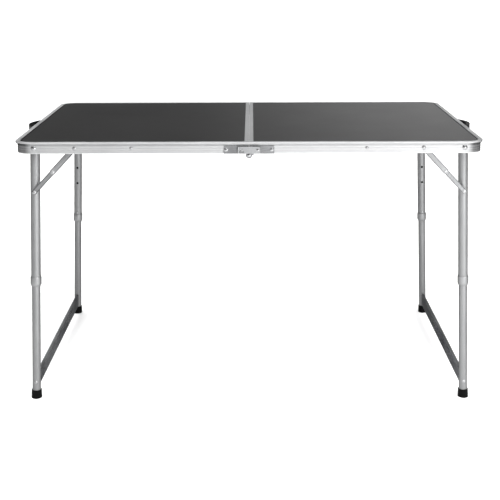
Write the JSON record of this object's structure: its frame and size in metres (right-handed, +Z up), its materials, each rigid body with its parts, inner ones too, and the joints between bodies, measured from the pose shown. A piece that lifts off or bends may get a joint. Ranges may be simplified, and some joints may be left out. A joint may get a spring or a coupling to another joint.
{
  "type": "folding table",
  "caption": "Low rectangular folding table with a dark top in a ribbed metal rim, a hinged seam, end grips and splayed telescopic legs with stretchers and stays.",
  "frame": {"origin": "On the floor, under the middle of the open table: the centre of the bounding box bottom.", "axes": "+X along the table to the right, +Y from the front to the back, +Z up. The seam between the halves is the plane X = 0, and the front is -Y."},
  "size_m": [1.263, 0.7112, 0.7],
  "materials": {
    "top_sheet": "satin textured coating",
    "rail_aluminium": "fine ribbed, satin",
    "tube_aluminium": "drawn, satin",
    "bar_aluminium": "mill finish",
    "black_nylon": "moulded",
    "handle_plastic": "fine grain",
    "foot_rubber": "matt",
    "zinc_steel": "zinc plated",
    "rivet_steel": "rolled heads"
  },
  "bodies": {
    "left_half": {"left_top_panel": "top_sheet", "left_rim_rail": "rail_aluminium", "left_seam_rail": "rail_aluminium", "left_seam_blocks": "black_nylon", "left_handle": "handle_plastic", "left_handle_screws": "rivet_steel", "left_hinge_plates": "zinc_steel", "left_plate_rivets": "rivet_steel", "left_leg_clips": "black_nylon", "left_clip_rivets": "rivet_steel", "left_leg_pivots": "rivet_steel", "left_pivot_bushes": "black_nylon", "left_stay_pivots": "rivet_steel", "hinge_pins": "rivet_steel", "latch_catches": "zinc_steel"},
    "right_half": {"right_top_panel": "top_sheet", "right_rim_rail": "rail_aluminium", "right_seam_rail": "rail_aluminium", "right_seam_blocks": "black_nylon", "right_handle": "handle_plastic", "right_handle_screws": "rivet_steel", "right_hinge_plates": "zinc_steel", "right_plate_rivets": "rivet_steel", "right_leg_clips": "black_nylon", "right_clip_rivets": "rivet_steel", "right_leg_pivots": "rivet_steel", "right_pivot_bushes": "black_nylon", "right_stay_pivots": "rivet_steel", "latch_pins": "rivet_steel"},
    "front_latch": {"front_latch_lever": "zinc_steel"},
    "back_latch": {"back_latch_lever": "zinc_steel"},
    "left_upper_leg": {"left_upper_tubes": "tube_aluminium", "left_collars": "tube_aluminium", "left_stay_rivets": "rivet_steel"},
    "left_lower_leg": {"left_lower_tubes": "tube_aluminium", "left_stretcher": "bar_aluminium", "left_stretcher_screws": "rivet_steel", "left_foot_caps": "foot_rubber", "left_spring_clips": "rivet_steel"},
    "left_upper_link": {"left_upper_stays": "zinc_steel", "left_knee_rivets": "rivet_steel"},
    "left_lower_link": {"left_lower_stays": "zinc_steel"},
    "left_front_snap": {"left_front_button": "rivet_steel"},
    "left_back_snap": {"left_back_button": "rivet_steel"},
    "right_upper_leg": {"right_upper_tubes": "tube_aluminium", "right_collars": "tube_aluminium", "right_stay_rivets": "rivet_steel"},
    "right_lower_leg": {"right_lower_tubes": "tube_aluminium", "right_stretcher": "bar_aluminium", "right_stretcher_screws": "rivet_steel", "right_foot_caps": "foot_rubber", "right_spring_clips": "rivet_steel"},
    "right_upper_link": {"right_upper_stays": "zinc_steel", "right_knee_rivets": "rivet_steel"},
    "right_lower_link": {"right_lower_stays": "zinc_steel"},
    "right_front_snap": {"right_front_button": "rivet_steel"},
    "right_back_snap": {"right_back_button": "rivet_steel"}
  },
  "joints": [
    {"name": "table_fold", "type": "hinge", "parent": "left_half", "child": "right_half", "pos_m": [0, 0, 0.666], "axis": [0, 1, 0], "range_deg": [0, 70]},
    {"name": "front_latch_lift", "type": "hinge", "parent": "right_half", "child": "front_latch", "pos_m": [0.0225, -0.352, 0.68], "axis": [0, 1, 0], "range_deg": [0, 60]},
    {"name": "back_latch_lift", "type": "hinge", "parent": "right_half", "child": "back_latch", "pos_m": [0.0225, 0.352, 0.68], "axis": [0, 1, 0], "range_deg": [0, 60]},
    {"name": "left_leg_fold", "type": "hinge", "parent": "left_half", "child": "left_upper_leg", "pos_m": [-0.547, 0, 0.6842], "axis": [0, 1, 0], "range_deg": [-90, 0]},
    {"name": "left_leg_height", "type": "slide", "parent": "left_upper_leg", "child": "left_lower_leg", "axis": [0.0366, 0, 0.9993], "range_m": [0, 0.15], "deforming": ["left_spring_clips", "left_front_button", "left_back_button"]},
    {"name": "left_upper_stay_pivot", "type": "hinge", "parent": "left_half", "child": "left_upper_link", "pos_m": [-0.443, 0, 0.6842], "axis": [0, 1, 0], "range_deg": [-132.66, 0]},
    {"name": "left_lower_stay_pivot", "type": "hinge", "parent": "left_upper_leg", "child": "left_lower_link", "pos_m": [-0.55126, 0, 0.56798], "axis": [0, 1, 0], "range_deg": [0, 135.14]},
    {"name": "left_front_button_press", "type": "slide", "parent": "left_lower_leg", "child": "left_front_snap", "axis": [0, -1, 0], "range_m": [0, 0.003], "stiffness_N_per_m": 400, "springref_m": -0.003},
    {"name": "left_back_button_press", "type": "slide", "parent": "left_lower_leg", "child": "left_back_snap", "axis": [0, 1, 0], "range_m": [0, 0.003], "stiffness_N_per_m": 400, "springref_m": -0.003},
    {"name": "right_leg_fold", "type": "hinge", "parent": "right_half", "child": "right_upper_leg", "pos_m": [0.547, 0, 0.6842], "axis": [0, 1, 0], "range_deg": [0, 90]},
    {"name": "right_leg_height", "type": "slide", "parent": "right_upper_leg", "child": "right_lower_leg", "axis": [-0.0366, 0, 0.9993], "range_m": [0, 0.15], "deforming": ["right_spring_clips", "right_front_button", "right_back_button"]},
    {"name": "right_upper_stay_pivot", "type": "hinge", "parent": "right_half", "child": "right_upper_link", "pos_m": [0.443, 0, 0.6842], "axis": [0, 1, 0], "range_deg": [0, 132.66]},
    {"name": "right_lower_stay_pivot", "type": "hinge", "parent": "right_upper_leg", "child": "right_lower_link", "pos_m": [0.55126, 0, 0.56798], "axis": [0, 1, 0], "range_deg": [-135.14, 0]},
    {"name": "right_front_button_press", "type": "slide", "parent": "right_lower_leg", "child": "right_front_snap", "axis": [0, -1, 0], "range_m": [0, 0.003], "stiffness_N_per_m": 400, "springref_m": -0.003},
    {"name": "right_back_button_press", "type": "slide", "parent": "right_lower_leg", "child": "right_back_snap", "axis": [0, 1, 0], "range_m": [0, 0.003], "stiffness_N_per_m": 400, "springref_m": -0.003}
  ],
  "couplings": [
    {"joint": "left_upper_stay_pivot", "follows": "left_leg_fold", "ratio": 1.4685},
    {"joint": "left_lower_stay_pivot", "follows": "left_leg_fold", "ratio": -1.496},
    {"joint": "right_upper_stay_pivot", "follows": "right_leg_fold", "ratio": 1.4685},
    {"joint": "right_lower_stay_pivot", "follows": "right_leg_fold", "ratio": -1.496}
  ]
}
